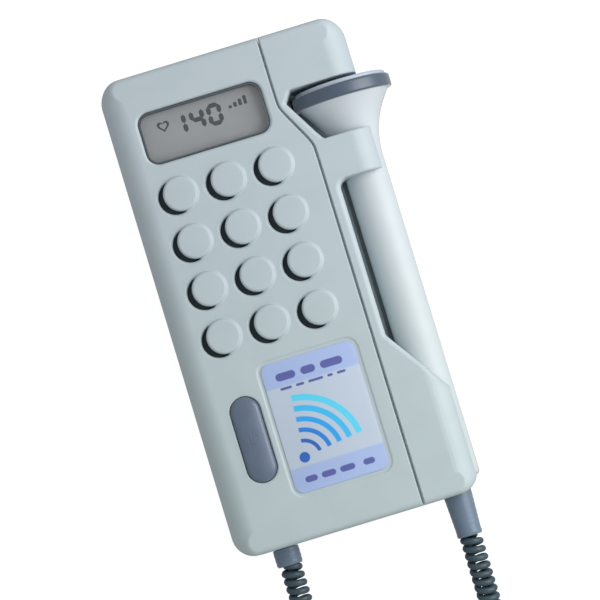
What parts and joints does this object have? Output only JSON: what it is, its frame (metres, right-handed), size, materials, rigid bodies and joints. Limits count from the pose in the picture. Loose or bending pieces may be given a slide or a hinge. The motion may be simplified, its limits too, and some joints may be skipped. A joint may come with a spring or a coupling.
{
  "type": "fetal doppler monitor",
  "caption": "Pocket fetal heart monitor with a flat display, louvred loudspeaker and a slim ultrasound probe on a curly cord, docked in a holster along its side.",
  "frame": {"origin": "centre of the case's width and length on its flat back, the face it lies on", "axes": "+X across the face towards the docked probe, +Y along the case towards the display end, +Z out of the front face"},
  "size_m": [0.0809, 0.2379, 0.0294],
  "materials": {
    "casing": "fine-textured moulded ABS, pale grey",
    "probe_casing": "satin moulded ABS, off-white",
    "slate_plastic": "satin moulded plastic, slate blue",
    "boot_rubber": "matt flexible PVC, slate blue",
    "cord_rubber": "matt PVC sheath, dark slate",
    "probe_face_rubber": "smooth silicone, grey blue",
    "rim_rubber": "satin moulded rim, slate blue",
    "window_pane": "clear acrylic with a dark printed border",
    "lcd": "reflective liquid crystal cell, warm grey",
    "zebra_rubber": "conductive elastomer",
    "circuit_board": "green solder mask",
    "component_black": "black moulded component",
    "cloth": "black woven dust cloth",
    "foam": "black closed-cell foam",
    "steel": "zinc-plated steel",
    "ferrite": "dark grey ferrite",
    "paper_cone": "pressed black cone",
    "wire_sleeve": "red wire insulation",
    "battery_can": "lacquered metal sleeve, plain",
    "label": null,
    "ceramic": "piezo ceramic",
    "backing": "cork backing"
  },
  "bodies": {
    "case": {"front_cover": "casing", "holster_cover": "casing", "rear_cover": "casing", "lcd_window": "window_pane", "lcd_glass": "lcd", "lcd_zebra_strips": "zebra_rubber", "display_board": "circuit_board", "board_headers": "component_black", "main_board": "circuit_board", "board_chips": "component_black", "speaker_cloth": "cloth", "speaker_gasket": "foam", "speaker_basket": "steel", "speaker_cone": "paper_cone", "speaker_magnet": "ferrite", "speaker_leads": "wire_sleeve", "button_board": "circuit_board", "power_switch": "steel", "volume_pot": "component_black", "headphone_socket": "component_black", "battery": "battery_can", "battery_snap": "component_black", "battery_leads": "wire_sleeve", "battery_pad": "foam", "clip_pin": "steel", "clip_spring": "steel", "case_screws": "steel", "label_plate": "label", "case_boot": "boot_rubber", "case_cord_lead": "cord_rubber", "curly_cord": "cord_rubber"},
    "probe": {"probe_shell_front": "probe_casing", "probe_shell_back": "probe_casing", "probe_rim": "rim_rubber", "probe_face": "probe_face_rubber", "crystal_transmit": "ceramic", "crystal_receive": "ceramic", "crystal_backing": "backing", "probe_board": "circuit_board", "probe_leads": "wire_sleeve", "probe_boot": "boot_rubber"},
    "power_button": {"power_button": "slate_plastic"},
    "volume_wheel": {"volume_wheel": "slate_plastic"},
    "battery_door": {"battery_door": "casing"},
    "pocket_clip": {"pocket_clip": "slate_plastic"}
  },
  "joints": [
    {"name": "probe_slide", "type": "slide", "parent": "case", "child": "probe", "axis": [1, 0, 0], "range_m": [0, 0.045]},
    {"name": "power_button_press", "type": "slide", "parent": "case", "child": "power_button", "axis": [0, 0, -1], "range_m": [0, 0.0008], "stiffness_N_per_m": 800, "springref_m": -0.001},
    {"name": "volume_turn", "type": "hinge", "parent": "case", "child": "volume_wheel", "pos_m": [-0.0175, 0.0613, 0.0127], "axis": [0, 0, 1], "range_deg": [-140, 140]},
    {"name": "battery_door_slide", "type": "slide", "parent": "case", "child": "battery_door", "axis": [-1, 0, 0], "range_m": [0, 0.032]},
    {"name": "pocket_clip_open", "type": "hinge", "parent": "case", "child": "pocket_clip", "pos_m": [0, 0.058, 0.003], "axis": [1, 0, 0], "range_deg": [0, 9], "stiffness_Nm_per_rad": 0.4, "springref_deg": -8.59}
  ]
}
